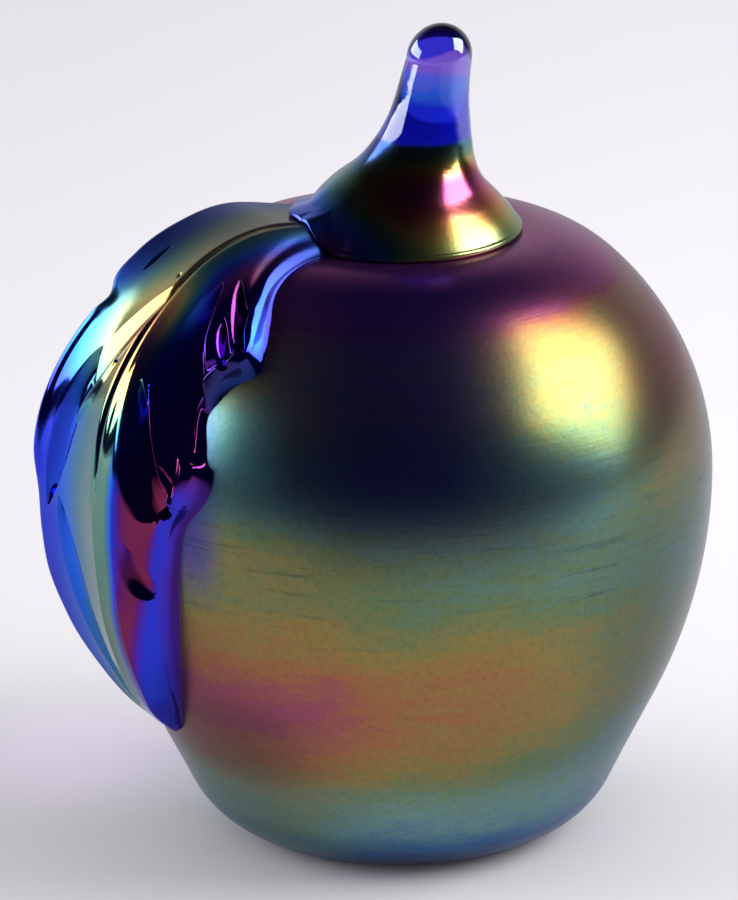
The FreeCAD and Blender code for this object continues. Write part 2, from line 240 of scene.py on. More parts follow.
front_edge = [(9, 4.2), (18, 6.0), (25, 8.6), (30, 12.0), (33.5, 14.0), (36.6, 14.6),
              (39.2, 12.5), (41.2, 11.6), (44, 11.2), (49, 12.7), (53, 13.8), (56.5, 13.1),
              (60.5, 10.7), (66, 9.4), (72.7, 8.4), (78.5, 7.2), (84, 5.4), (88, 3.9),
              (92, 1.8), (94, 0.6)]
back_edge = [(9, 10.5), (16, 14.6), (24, 15.3), (30, 16.4), (34, 16.7), (36.5, 15.2), (39, 16.2),
             (43, 17.6), (49, 19.2), (54, 19.9), (58, 19.8), (62, 18.9), (68, 18.6), (74, 18.0),
             (78, 16.4), (81, 15.0), (84, 12.8), (87.3, 9.2), (90, 5.8), (92, 3.1), (94, 0.7)]
midrib_rise = [(9, 2.6), (22, 4.1), (30, 5.2), (40, 6.1), (48, 6.6), (56, 6.1), (67, 5.7),
               (76, 5.5), (84, 4.6), (88, 3.7), (91, 2.6), (94, 1.0)]
back_rise = [(9, 2.4), (20, 3.2), (36, 3.6), (60, 3.7), (76, 3.6), (84, 3.2), (90, 2.7), (94, 1.0)]
front_rise = [(9, 1.1), (20, 0.8), (36, 0.8), (56, 0.8), (66, 1.3), (73, 2.2), (79, 2.4),
              (85, 1.9), (90, 1.1), (94, 0.5)]
ridge_across = [(9, 1.6), (30, 2.4), (45, 2.8), (53, 4.0), (67, 5.0), (76, 5.7), (80, 5.3),
                (84, 4.5), (88, 3.1), (91, 1.8), (94, 0.3)]
ridge_rise = [(9, 2.5), (22, 4.0), (30, 5.1), (45, 6.4), (53, 6.2), (67, 5.8), (76, 6.0),
              (84, 4.8), (88, 3.9), (91, 2.6), (94, 1.0)]
print("leaf:", LEAF_TIP - LEAF_ROOT, "mm over the skin")

# %% [markdown]
# ## What the tool pressed
#
# Before the leaf was laid on, its soft glass was pinched and pressed. A pinch leaves a hollow
# like a teardrop: pointed where the tool went in and round where it came out, with soft walls
# that run down to a floor. A dent is the same shape without a floor, and a fold is one that
# stands up.

# %% Pinches, dents and folds: start, end, half width, depth, widest at, bow to the back
pinches = [
    ((27.6, 6.3), (35.6, 14.3), 1.05, 1.5, 0.62, 0.0),
    ((32.6, 8.8), (38.2, 13.0), 1.05, 1.5, 0.66, 0.0),
    ((29.2, 5.4), (51.5, 13.2), 2.55, 2.2, 0.60, 0.95),
    ((43.8, 4.0), (59.4, 9.9), 2.85, 2.3, 0.84, 0.0),
    ((62.6, 5.6), (70.3, 8.0), 1.25, 1.3, 0.66, 0.0),
    ((52.4, 10.1), (54.6, 11.5), 0.28, 0.5, 0.55, 0.0),
    ((27.8, -10.3), (31.8, -11.3), 0.55, 0.6, 0.50, 0.0),
]
dents = [
    ((31.5, 0.6), (47.5, -8.5), 3.0, 0.7, 0.60, 0.0),
    ((42.5, -9.4), (64.0, -15.5), 3.4, 1.6, 0.45, 0.0),
    ((62.0, -12.5), (90.0, -2.5), 3.2, 0.8, 0.45, 0.0),
]
folds = [
    ((43.5, 5.3), (57.6, 12.6), 0.8, 0.6, 0.55, 0.0),
    ((43.0, -3.2), (52.0, -9.5), 1.6, 0.35, 0.50, 0.0),
]
PIT_PLACE, PIT_RADIUS, PIT_DEPTH = (30.8, -2.1), 0.28, 0.35


def into_teardrop(station, across, start, end, half_width, widest, bow):
    """How far a place lies into a teardrop: 0 at its outline, 1 on its middle line."""
    run, slant = end[0] - start[0], end[1] - start[1]
    length = math.hypot(run, slant)
    share = ((station - start[0]) * run + (across - start[1]) * slant) / length ** 2
    inside = np.clip(share, 1e-6, 1 - 1e-6)
    off = ((station - start[0]) * slant - (across - start[1]) * run) / length
    off -= 4 * bow * inside * (1 - inside)
    blunt = 0.75 * (1 - widest) / widest
    shape = (inside / widest) ** 0.75 * ((1 - inside) / (1 - widest)) ** blunt
    depth = np.clip(1 - np.abs(off) / (half_width * shape + 1e-6), 0, 1)
    return depth * (share > 0) * (share < 1)


print("pressed shapes:", len(pinches), "pinches,", len(dents), "dents,", len(folds), "folds")

# %% [markdown]
# The leaf's outer face is a height over the body at each place. From the midrib it sags to
# the back rim, and on the other side it runs level to the ridge and then falls steeply to
# the front rim. The crease beside the midrib, the beads along both rims, the hollows and the
# folds are added to that.

# %% Height of the leaf's face
CREASE_DEPTH, CREASE_WIDTH = 1.0, 0.55
SWELL, SWELL_PLACE, SWELL_WIDTH = 0.25, 1.5, 0.8
BACK_SAG = 0.9
FLANK_STRAIGHT = 0.45
FRONT_BEAD, BACK_BEAD = 0.42, 0.55
# how far into a pinch its floor begins, where 1 is its middle line
FLOOR_AT = 0.8


def bell(distance, width):
    return np.exp(-(distance / width) ** 2)


def leaf_face(station, across):
    """Height of the leaf's outer face over the tangent plane at the midrib's foot."""
    front, back = through(front_edge, station), through(back_edge, station)
    top, corner = through(midrib_rise, station), through(ridge_across, station)
    crest = through(ridge_rise, station)
    to_back = np.clip(-across / back, 0, 1)
    back_face = top + (through(back_rise, station) - top) * to_back
    back_face -= BACK_SAG * np.sin(math.pi * to_back) * smooth(14, 34, station) * (back / 20)
    to_ridge = np.clip(across / corner, 0, 1)
    strip = top + (crest - top) * smooth(0, 1, to_ridge)
    down = np.clip((across - corner) / np.maximum(front - corner, 0.2), 0, 1)
    fall = FLANK_STRAIGHT * down + (1 - FLANK_STRAIGHT) * smooth(0, 1, down)
    flank = crest + (through(front_rise, station) - crest) * fall
    face = np.where(across < 0, back_face, np.where(across < corner, strip, flank))

    lively = smooth(12, 24, station)
    face -= CREASE_DEPTH * bell(across, CREASE_WIDTH) * lively * (1 - smooth(50, 62, station))
    swell = SWELL * bell(across - SWELL_PLACE, SWELL_WIDTH)
    face += swell * lively * (1 - smooth(52, 60, station))
    from_front, from_back = front - across, across + back
    bead = FRONT_BEAD * (bell(from_front - 0.9, 0.55) - 0.8 * bell(from_front - 2.1, 0.6))
    face += bead * lively * (1 - smooth(58, 66, station))
    bead = BACK_BEAD * bell(from_back - 1.3, 1.0)
    face += bead * smooth(35, 39, station) * (1 - smooth(56, 64, station))
    for start, end, width, depth, widest, bow in pinches:
        middle = into_teardrop(station, across, start, end, width, widest, bow)
        face -= depth * smooth(0, FLOOR_AT, middle)
    for shapes, way in ((dents, -1), (folds, 1)):
        for start, end, width, lift, widest, bow in shapes:
            middle = into_teardrop(station, across, start, end, width, widest, bow)
            face += way * lift * smooth(0, 1, middle)
    pit = np.hypot(station - PIT_PLACE[0], across - PIT_PLACE[1])
    return face - PIT_DEPTH * bell(pit, PIT_RADIUS)


print("midrib at station 48:", round(float(leaf_face(np.array(48.0), np.array(0.0))), 2), "mm")

# %% [markdown]
# ## The leaf's mesh
#
# A section goes up the back wall, over the rounded rim, across the face, over the front rim,
# down the front wall and back along the body. The wall at the back leans in, so that the rim
# stands clear of the apple and throws a shadow. The front wall flares out at its foot, where
# the hot glass wetted the body. The underside lies a hair inside the body.

# %% Leaf mesh
LEAF_SECTIONS = 460
WALL, ROUND, FACE, UNDER = 10, 9, 210, 40
BACK_ROUND, FRONT_ROUND = 1.3, 0.8
UNDERCUT, FRONT_FLARE = 3.2, 1.1
# the flare is this much wider again beside the middle lobes
MORE_FLARE = 1.1
SINK = 0.12
SETTLING_STEPS = 7

outward = np.array([math.cos(LEAF_AZIMUTH), math.sin(LEAF_AZIMUTH), 0.0])
sideways = np.array([-math.sin(LEAF_AZIMUTH), math.cos(LEAF_AZIMUTH), 0.0])
upright = np.array([0.0, 0.0, 1.0])


def lay_out(station, across, lift):
    """A point of the leaf in space, from its place on the leaf and its height."""
    radius, height, out_r, out_z = on_skin(station)
    foot = radius[..., None] * outward + height[..., None] * upright
    normal = out_r[..., None] * outward + out_z[..., None] * upright
    return foot + across[..., None] * sideways + lift[..., None] * normal


def skin_under(station, across):
    """Height at which the body's skin lies under a place of the leaf."""
    lift = np.zeros(np.broadcast(station, across).shape)
    for _ in range(SETTLING_STEPS):
        place = lay_out(station + 0 * lift, across + 0 * lift, lift)
        lift -= above_skin(np.hypot(place[..., 0], place[..., 1]), place[..., 2]) + SINK
    return lift


s = np.linspace(LEAF_ROOT, LEAF_TIP - 0.02, LEAF_SECTIONS)[:, None]
front, back = through(front_edge, s), through(back_edge, s)
back_round = np.minimum(BACK_ROUND, 0.3 * back)
front_round = np.minimum(FRONT_ROUND, 0.3 * front)
bend = np.linspace(0, math.pi / 2, ROUND)[None, :]
back_bend = -back + back_round * (1 - np.cos(bend))
front_bend = (front - front_round * (1 - np.cos(bend)))[:, ::-1]
share = np.linspace(0, 1, FACE + 2)[None, 1:-1]
open_face = (-back + back_round) + share * (back + front - back_round - front_round)
face_across = np.concatenate([back_bend, open_face, front_bend], 1)
face_lift = leaf_face(s + 0 * face_across, face_across)
face_lift[:, :ROUND] -= back_round * (1 - np.sin(bend))
face_lift[:, -ROUND:] -= front_round * (1 - np.sin(bend[:, ::-1]))

cut = UNDERCUT * smooth(14, 32, s) * back / 20
beside_lobes = smooth(36, 40, s) * (1 - smooth(50, 60, s))
flare = np.minimum(FRONT_FLARE * (1 + MORE_FLARE * beside_lobes), 0.25 * front)
under_share = np.linspace(0, 1, UNDER)[None, :]
under_across = (front + flare) + under_share * (-back + cut - front - flare)
under_lift = skin_under(s, under_across)
climb = np.linspace(0, 1, WALL + 2)[None, 1:-1]
fall = climb * math.pi / 2
back_wall = (under_across[:, -1:] + climb * (face_across[:, :1] - under_across[:, -1:]),
             under_lift[:, -1:] + climb * (face_lift[:, :1] - under_lift[:, -1:]))
front_wall = (front + flare * (1 - np.cos(fall)),
              face_lift[:, -1:] + np.sin(fall) * (under_lift[:, :1] - face_lift[:, -1:]))
leaf_across = np.concatenate([back_wall[0], face_across, front_wall[0], under_across], 1)
leaf_lift = np.concatenate([back_wall[1], face_lift, front_wall[1], under_lift], 1)
leaf_station = s + 0 * leaf_across
leaf_marks = {"station": leaf_station, "across": leaf_across, "rim": front - leaf_across}
leaf_rings = lay_out(leaf_station, leaf_across, leaf_lift)
leaf = make_piece("pressed_leaf", "leaf", leaf_rings, leaf_marks)

# %% [markdown]
# ## The stem
#
# A blob of glass is dropped on the crown and drawn out: it spreads into a foot and leaves a
# thin, leaning stem with a fire-polished end. Where the foot meets the leaf's root, its glass
# drapes over it. The stem is built from round rings, and every point of the foot that would
# lie inside the leaf is lifted onto it.

# %% Stem mesh
STEM_SEGMENTS = 256
# height over the crown, radius of the ring, how far its middle leans to the right
stem_outline = [(0.95, 15.85, 0.36), (2.3, 14.9, 0.36), (4.4, 13.0, 0.5), (6.7, 10.45, 1.0),
                (9.4, 7.95, 2.35), (12.2, 6.55, 3.3), (15.0, 5.62, 4.0), (17.7, 5.02, 4.45),
                (20.5, 4.66, 4.9), (23.6, 4.36, 5.5)]
TIP_RISE, TIP_LEAN = 4.55, 5.85
FOOT_RADIUS, FOOT_ROUND, FOOT_EDGE, FOOT_LEAN = 16.2, 0.5, 0.45, 0.36
BOTTOM_RINGS, EDGE_RINGS, SIDE_RINGS, TIP_RINGS = 12, 14, 130, 26
DRAPE, DRAPE_SLOPE, DRAPE_SINK = 0.95, 0.28, 0.15
PULL, PULL_TURN = 0.12, math.radians(30)
PUSH, PUSH_TURN = 0.08, math.radians(211)

side = np.array(stem_outline)
run = np.concatenate([[0], np.cumsum(np.hypot(*np.diff(side[:, :2], axis=0).T))])
fine = np.linspace(0, run[-1], SIDE_RINGS)
side = np.stack([through(np.stack([run, column], 1), fine) for column in side.T], 1)
lip = np.linspace(-math.pi / 2, math.pi / 3, EDGE_RINGS)
edge = np.stack([FOOT_EDGE + FOOT_ROUND * np.sin(lip),
                 FOOT_RADIUS - FOOT_ROUND * (1 - np.cos(lip)), FOOT_LEAN + 0 * lip], 1)
dome = np.linspace(0.04, math.pi / 2 - 0.05, TIP_RINGS)
crown_of_tip = side[-1, 0] + TIP_RISE * np.sin(dome)
end = np.stack([crown_of_tip, side[-1, 1] * np.cos(dome),
                side[-1, 2] + (TIP_LEAN - side[-1, 2]) * np.sin(dome)], 1)
bottom = np.stack([np.full(BOTTOM_RINGS, -SINK),
                   np.linspace(1.0, FOOT_RADIUS - FOOT_ROUND, BOTTOM_RINGS),
                   np.full(BOTTOM_RINGS, FOOT_LEAN)], 1)
stem_side = np.concatenate([bottom, edge, side, end])
covering = np.concatenate([np.zeros(BOTTOM_RINGS), np.linspace(0, 1, EDGE_RINGS),
                           np.ones(SIDE_RINGS + TIP_RINGS)])[:, None]

turn = np.linspace(0, 2 * math.pi, STEM_SEGMENTS, endpoint=False)[None, :]
towards_leaf = np.cos(turn - LEAF_AZIMUTH + PULL_TURN)
low_on_foot = smooth(8, 15, stem_side[:, 1:2])
pull = 1 - PULL * smooth(0.45, 0.95, towards_leaf) * low_on_foot
pull += PUSH * smooth(0.86, 0.99, np.cos(turn - PUSH_TURN)) * low_on_foot
x = stem_side[:, 2:] + stem_side[:, 1:2] * pull * np.cos(turn)
y = stem_side[:, 1:2] * pull * np.sin(turn)
z = stem_side[:, :1] + 0 * turn
root_station = x * outward[0] + y * outward[1]
root_across = x * sideways[0] + y * sideways[1]
root_front = through(front_edge, root_station)
root_back = through(back_edge, root_station)
on_root = smooth(3.5, 9.5, root_station)
on_root = on_root * (1 - smooth(-0.6, 3.2, root_across - root_front))
on_root = on_root * (1 - smooth(-0.5, 2.0, -root_across - root_back))
shelf = leaf_face(np.maximum(root_station, LEAF_ROOT),
                  np.clip(root_across, -root_back, root_front))
thick = DRAPE + DRAPE_SLOPE * np.clip(FOOT_RADIUS - stem_side[:, 1:2], 0, 6)
shelf = on_root * (shelf + thick * covering - DRAPE_SINK)
z = 0.5 * (z + shelf + np.sqrt((z - shelf) ** 2 + 0.25 * covering ** 2 * on_root))
stem = make_piece("drawn_stem", "stem", np.stack([x, y, z + CROWN_HEIGHT], 2))

# %% [markdown]
# ## Shader arithmetic
#
# Patterns are easier to read as sums than as a net of nodes. `Value` wraps one socket, and
# Python's operators on it add Math nodes. `Finish` makes every other node from its type, its
# settings and its sockets. Its `zone` is 1 inside a few smooth edges, and the finishes use it
# to thicken a film or to tint a colour in one place.

# %% Shader helpers


class Value:
    """One output socket; arithmetic on it adds Math nodes."""

    def __init__(self, finish, socket):
        self.finish, self.socket = finish, socket

    def math(self, operation, first, second=0.0):
        return self.finish.node("ShaderNodeMath", {"operation": operation}, {0: first, 1: second})

    def __add__(self, other):
        return self.math("ADD", self, other)

    def __radd__(self, other):
        return self.math("ADD", other, self)

    def __sub__(self, other):
        return self.math("SUBTRACT", self, other)

    def __rsub__(self, other):
        return self.math("SUBTRACT", other, self)

    def __mul__(self, other):
        return self.math("MULTIPLY", self, other)

    def __rmul__(self, other):
        return self.math("MULTIPLY", other, self)

    def __pow__(self, power):
        return self.math("POWER", self, power)


class Finish:
    """A material or a world, and the nodes that are added to it."""

    def __init__(self, owner):
        owner.use_nodes = True
        self.owner, self.tree = owner, owner.node_tree
        self.tree.nodes.clear()

    def node(self, kind, settings=None, sockets=None, output=0):
        made = self.tree.nodes.new(kind)
        for name, value in (settings or {}).items():
            if name == "stops":
                ramp = made.color_ramp
                while len(ramp.elements) < len(value):
                    ramp.elements.new(1.0)
                for element, (place, colour) in zip(ramp.elements, value):
                    element.position, element.color = place, colour
            else:
                setattr(made, name, value)
        for name, value in (sockets or {}).items():
            if isinstance(value, Value):
                self.tree.links.new(value.socket, made.inputs[name])
            else:
                made.inputs[name].default_value = value
        return Value(self, made.outputs[output])

    def between(self, low, high, value):
        """0 below low, 1 above high, and a smooth turn between them."""
        return self.node("ShaderNodeMapRange", {"interpolation_type": "SMOOTHSTEP"},
                         {"Value": value, "From Min": low, "From Max": high})

    def blend(self, share, first, second, kind="MIX"):
        """The first colour where share is 0, and the second where it is 1."""
        return self.node("ShaderNodeMix", {"data_type": "RGBA", "blend_type": kind},
                         {0: share, 6: first, 7: second}, output=2)

    def zone(self, *edges):
        """1 inside all the edges; each is (value, where it is 0, where it is 1)."""
        share = 1.0
        for value, outside, inside in edges:
            share = self.between(outside, inside, value) * share
        return share

    def thicken(self, film, changes):
        """A film with (amount, edge, edge, ...) added inside each zone."""
        for amount, *edges in changes:
            film = film + self.zone(*edges) * amount
        return film

    def tint(self, colour, tints):
        """A colour blended inside each zone: (share, other colour, edge, edge, ...)."""
        for share, other, *edges in tints:
            colour = self.blend(self.zone(*edges) * share, colour, other)
        return colour

    def bands(self, value, stops):
        """Colours at (place, colour) along a value, with the places in the value's own units."""
        low, high = stops[0][0], stops[-1][0]
        shares = [((place - low) / (high - low), colour) for place, colour in stops]
        share = (value - low) * (1 / (high - low))
        return self.node("ShaderNodeValToRGB", {"stops": shares}, {"Fac": share})

    def noise(self, place, scale, detail=3.0, roughness=0.5):
        return self.node("ShaderNodeTexNoise", sockets={
            "Vector": place, "Scale": scale, "Detail": detail, "Roughness": roughness})

    def millimetres(self, place):
        """The three coordinates of a place, as numbers in millimetres."""
        axes = self.node("ShaderNodeSeparateXYZ", sockets={0: place}).socket.node.outputs
        return [Value(self, axis) * 1000 for axis in axes]

    def stretch(self, place, amounts):
        return self.node("ShaderNodeVectorMath", {"operation": "MULTIPLY"},
                         {0: place, 1: amounts})

    def output(self, shader, kind="ShaderNodeOutputMaterial"):
        end = self.tree.nodes.new(kind)
        self.tree.links.new(shader.socket, end.inputs["Surface"])


def shade(red, green, blue):
    """A colour written as it looks on a screen, 0 to 255."""
    return tuple((part / 255) ** 2.2 for part in (red, green, blue)) + (1.0,)


print("shade(255, 255, 255) =", shade(255, 255, 255))

# %% [markdown]
# ## The colours of a thin film
#
# The vapour leaves a film of metal oxide, thinner than the waves of light. As it grows it
# runs through one fixed row of colours, like oil on water: violet, blue, teal, green, gold,
# copper, rose and violet again; the glossy row starts a step earlier, with plum. Each finish
# first says how thick its film is, as a number from 0 to 1, and the row gives the colour. A
# few places are then tinted where the row alone misses what is seen; some of these tints are
# painted light, some painted shade. The satin film scatters light and looks duller than the
# glossy one.

# %% Colours by thickness
SATIN_ROW = [
    (0.00, shade(46, 34, 88)), (0.14, shade(50, 102, 150)), (0.28, shade(88, 134, 132)),
    (0.42, shade(104, 126, 80)), (0.56, shade(142, 126, 60)), (0.70, shade(160, 106, 60)),
    (0.82, shade(154, 80, 86)), (0.92, shade(168, 82, 120)), (1.00, shade(130, 74, 126))]
GLOSSY_ROW = [
    (0.00, shade(124, 44, 78)), (0.07, shade(98, 36, 124)), (0.13, shade(72, 48, 184)),
    (0.19, shade(44, 58, 210)), (0.29, shade(40, 106, 228)), (0.39, shade(66, 128, 146)),
    (0.48, shade(106, 148, 112)), (0.57, shade(178, 170, 96)), (0.66, shade(208, 152, 86)),
    (0.75, shade(206, 112, 92)), (0.86, shade(184, 72, 120)), (1.00, shade(124, 56, 160))]


def metal_film(finish, colour, roughness, bump, coat=0.0):
    """The film itself: a metal that mirrors its surroundings in its own colour."""
    return finish.node("ShaderNodeBsdfPrincipled", sockets={
        "Base Color": colour, "Metallic": 1.0, "Roughness": roughness, "Normal": bump,
        "Specular Tint": shade(222, 222, 230), "Coat Weight": coat, "Coat Roughness": 0.22})


print("colours in a row:", len(SATIN_ROW), "satin,", len(GLOSSY_ROW), "glossy")

# %% [markdown]
# ## The satin film on the body
#
# The apple is turned over the vapour, so on the body the film's thickness goes by height: it
# grows over the heel, thins over the belly and grows again over the shoulder, and the clouds
# of vapour blur that. A thin share of plain cobalt glass lies under the film and gives the
# dark places their blue. The dark blue front, the belt under it, the lower left and the right
# side are then darkened as painted shade, and the heel and a teal patch beside the dark front
# lightened as painted light. Fine level marks are left from the wet paper the glass was
# turned in.

# %% Satin body finish
satin = Finish(bpy.data.materials.new("satin_film_on_cobalt"))
place = satin.node("ShaderNodeTexCoord", output=3)
x_mm, y_mm, z_mm = satin.millimetres(place)

cloud = satin.noise(satin.stretch(place, (1, 1, 1.6)), 26.0, 4.0, 0.6) - 0.5
drift = satin.noise(satin.stretch(place, (1, 1, 2.5)), 90.0, 4.0, 0.65) - 0.5
unrest = 0.35 + 0.65 * satin.between(72, 50, z_mm)
film_height = z_mm + (cloud * 12 + drift * 6) * unrest
body_film = satin.thicken(0.05, [
    # by height, from the heel to the crown
    (0.60, (film_height, 0, 28)),
    (-0.27, (film_height, 33, 46)),
    (-0.05, (film_height, 48, 58)),
    (0.17, (film_height, 60, 70)),
    (0.10, (film_height, 71, 76.5)),
    (0.33, (film_height, 75.5, 80.5)),
    # thinner low on the right, thicker low and midway on the left and at the upper right
    (-0.22, (x_mm, 8, 38), (z_mm, 10, 18), (z_mm, 48, 34)),
    (0.18, (x_mm, 4, -14), (film_height, 38, 27)),
    (0.11, (x_mm, 4, -14), (z_mm, 58, 50), (z_mm, 34, 42)),
    (0.22, (x_mm, 25, 38), (z_mm, 46, 60), (z_mm, 80, 73)),
])
streak = satin.noise(satin.stretch(place, (1, 1, 4.5)), 150.0, 6.0, 0.7) - 0.5
grit = satin.noise(place, 800.0, 2.0, 0.6) - 0.5
body_film = body_film + streak * 0.26 + grit * 0.10

speck = satin.noise(place, 1500.0, 2.0, 0.7)
grain = satin.noise(satin.stretch(place, (50, 50, 1500)), 1.0, 5.0, 0.7)
tool_marks = satin.zone((grain, 0.56, 0.70), (z_mm, 34, 44), (z_mm, 64, 54))
body_colour = satin.tint(satin.bands(body_film, SATIN_ROW), [
    # painted shade: the dark blue front, for the dark room it mirrors, and the brown belt under it
    (0.80, shade(44, 36, 92), (x_mm, -22, -3), (x_mm, 20, 4), (z_mm, 50, 62), (z_mm, 83.1, 81.3)),
    (0.32, shade(70, 56, 44), (z_mm, 46, 52), (z_mm, 60, 55), (x_mm, -16, -6), (x_mm, 28, 16)),
    # painted light: a lighter teal left of the dark front, standing in for a reflection
    (0.60, shade(110, 190, 196), (x_mm, -13, -19), (z_mm, 56, 62), (z_mm, 72, 66)),
    # painted light on the heel, then the strip beside the leaf
    (0.28, shade(150, 186, 172), (z_mm, 5, 9), (z_mm, 19, 12)),
    (0.75, shade(56, 44, 150), (x_mm, -22, -27), (y_mm, -14, -22), (z_mm, 40, 50), (z_mm, 82, 76)),
    # painted shade on the lower left and on the right side
    (0.35, shade(58, 26, 54), (x_mm, -8, -20), (z_mm, 31, 24), (z_mm, 12, 17)),
    (0.32, shade(30, 26, 30), (x_mm, 20, 34)),
    # specks all over
    (0.22, shade(34, 36, 58), (speck, 0.4, 0.8)),
])
body_colour = satin.blend(tool_marks * 0.45, body_colour, shade(24, 44, 58))
satin_bump = satin.node("ShaderNodeBump", sockets={
    "Strength": 0.12, "Distance": 0.0002, "Height": grain * 0.6 + speck * 0.4})
cobalt = satin.node("ShaderNodeBsdfPrincipled", sockets={
    "Base Color": shade(12, 7, 86), "Roughness": 0.35, "Normal": satin_bump})
filmed = metal_film(satin, body_colour, 0.28 + tool_marks * 0.08, satin_bump, 0.12)
COBALT_SHARE = 0.14
satin.output(satin.node("ShaderNodeMixShader", sockets={0: COBALT_SHARE, 1: filmed, 2: cobalt}))
body.data.materials.append(satin.owner)
print("body finish:", len(satin.tree.nodes), "nodes")

# %% [markdown]
# ## The glossy film on the leaf
#
# The leaf was reheated when it was pressed, so its film is clear and glossy. It is thickest
# along the midrib, green and gold, and thins towards both rims: to blue at the back rim, and
# through blue to plum down the front. The mesh carries the station and the distance across
# that it was laid out with, and the distance from its front rim, and the finish reads them.

# %% Glossy leaf finish
gloss = Finish(bpy.data.materials.new("glossy_film_on_cobalt"))
place = gloss.node("ShaderNodeTexCoord", output=3)
station, across, rim = (gloss.node("ShaderNodeAttribute", {"attribute_name": mark}, output=2)
                        for mark in leaf_marks)
wander = gloss.noise(gloss.stretch(place, (1, 1, 0.5)), 85.0, 3.0, 0.55) - 0.5
ripple = gloss.noise(place, 260.0, 3.0, 0.5) - 0.5

near_root = gloss.between(52, 40, station)
to_back = gloss.between(-1, -19, across)
tip_front = gloss.between(0.3, 0.8, across * (across + rim) ** -1) * gloss.between(60, 76, station)
to_front = 1 - (1 - gloss.between(2.5, 7, across)) * (1 - tip_front)
leaf_film = (0.45 + 0.21 * near_root - to_back * (0.27 + 0.10 * near_root)
             - to_front * (0.45 + 0.11 * near_root))
leaf_film = gloss.thicken(leaf_film, [
    # the lip at the root, the front wall, the rim near the tip and the grey flank at the root
    (0.20, (rim, 1.5, 0.4), (station, 37, 32), (rim, -0.5, 0.1)),
    (0.08, (rim, 0.2, -0.4)),
    (0.18, (rim, 2.0, 0.5), (station, 50, 58), (rim, -0.4, 0.2)),
    (-0.20, (station, 35, 27), (across, 0, 3), (across, 7, 4)),
    (-0.10, (station, 37, 28)),
])
leaf_film = leaf_film + wander * 0.16 + ripple * 0.04
leaf_colour = gloss.tint(gloss.bands(leaf_film, GLOSSY_ROW), [
    # the root and its back rim
    (0.70, shade(42, 48, 48), (station, 36, 22)),
    (0.75, shade(28, 50, 128), (across, -6, -13), (station, 38, 31)),
    # the front wall: dark violet, part film colour and part painted shade under the rim
    (0.65, shade(28, 24, 96), (rim, 0.1, -0.3)),
    # painted shade: the ledge between the first two lobes is darkened
    (0.75, shade(18, 48, 70), (rim, 2.2, 0.6), (station, 33, 36.5), (station, 46, 42)),
])
leaf_bump = gloss.node("ShaderNodeBump", sockets={
    "Strength": 0.06, "Distance": 0.0003, "Height": ripple})
cobalt = gloss.node("ShaderNodeBsdfPrincipled", sockets={
    "Base Color": shade(14, 14, 90), "Roughness": 0.08, "Normal": leaf_bump})
satin_root = gloss.zone((station, 42, 30), (across, 8.5, 5.5))
leaf_roughness = 0.08 + satin_root * (0.22 + 0.14 * gloss.between(0, 2, across))
filmed = metal_film(gloss, leaf_colour, leaf_roughness, leaf_bump)
LEAF_COBALT_SHARE = 0.1
gloss.output(gloss.node("ShaderNodeMixShader", sockets={
    0: LEAF_COBALT_SHARE, 1: filmed, 2: cobalt}))
leaf.data.materials.append(gloss.owner)
print("leaf finish:", len(gloss.tree.nodes), "nodes")

# %% [markdown]
# ## The stem's glass
#
# The drawn end was too hot to take much film, so there the clear cobalt glass shows, with the
# studio upside down in it and a veil of lilac and azure. Below a level line the neck is
# filmed all over, near black until a lamp catches it, and the foot is a little duller and
# takes a share of the body's satin colours.

# %% Stem finish
drawn = Finish(bpy.data.materials.new("clear_cobalt_to_satin"))
place = drawn.node("ShaderNodeTexCoord", output=3)
x_mm, y_mm, z_mm = drawn.millimetres(place)
up_stem = z_mm - CROWN_HEIGHT
cloud = drawn.noise(place, 60.0, 3.0) - 0.5

foot_film = drawn.thicken(0.50, [
    (0.38, (up_stem + cloud * 3, 1, 8)), (-0.46, (x_mm, 2, -8)), (-0.50, (up_stem, 7.5, 13))])
foot_film = foot_film + cloud * 0.16
SATIN_SHARE = 0.25
foot_colour = drawn.blend(SATIN_SHARE, drawn.bands(foot_film, GLOSSY_ROW),
                          drawn.bands(foot_film, SATIN_ROW))
# painted shade: the middle of the foot is tinted near black, where it mirrors the dark room
foot_colour = drawn.tint(foot_colour, [(0.60, shade(34, 30, 62), (x_mm, 8, -2), (x_mm, -9, -3))])
foot_speck = drawn.noise(place, 1400.0, 2.0, 0.7)
foot_bump = drawn.node("ShaderNodeBump", sockets={
    "Strength": 0.07, "Distance": 0.0002, "Height": foot_speck})
foot_roughness = 0.15 + drawn.between(9, 1, up_stem) * 0.09
foot_shader = metal_film(drawn, foot_colour, foot_roughness, foot_bump, 0.15)

curl = drawn.noise(drawn.stretch(place, (400, 400, 60)), 1.0) - 0.5
veil = up_stem - x_mm * 0.25 + curl * 1.6
clear_colour = drawn.tint(shade(30, 34, 226), [
    # lilac under the tip, and azure below it
    (0.80, shade(142, 104, 214), (veil, 18.6, 19.8), (veil, 23.8, 23.2)),
    (0.80, shade(58, 118, 246), (veil + x_mm * 0.5, 16.4, 18.0), (veil, 20.0, 18.6)),
])
clear = drawn.node("ShaderNodeBsdfPrincipled", sockets={
    "Base Color": clear_colour, "Roughness": 0.0, "IOR": 1.5, "Transmission Weight": 1.0})
VEIL_SHARE = 0.10
veil_film = metal_film(drawn, shade(190, 205, 235), 0.04, foot_bump)
veiled = drawn.node("ShaderNodeMixShader", sockets={0: VEIL_SHARE, 1: clear, 2: veil_film})
deep_blue = drawn.node("ShaderNodeBsdfPrincipled", sockets={
    "Base Color": shade(26, 30, 214), "Roughness": 0.05})
deep_part = drawn.between(19, 15, veil) * 0.35
veiled = drawn.node("ShaderNodeMixShader", sockets={0: deep_part, 1: veiled, 2: deep_blue})
under_film = drawn.between(13.6, 12.8, up_stem + cloud * 1.5)
drawn.output(drawn.node("ShaderNodeMixShader", sockets={
    0: under_film, 1: veiled, 2: foot_shader}))
stem.data.materials.append(drawn.owner)
print("stem finish:", len(drawn.tree.nodes), "nodes")
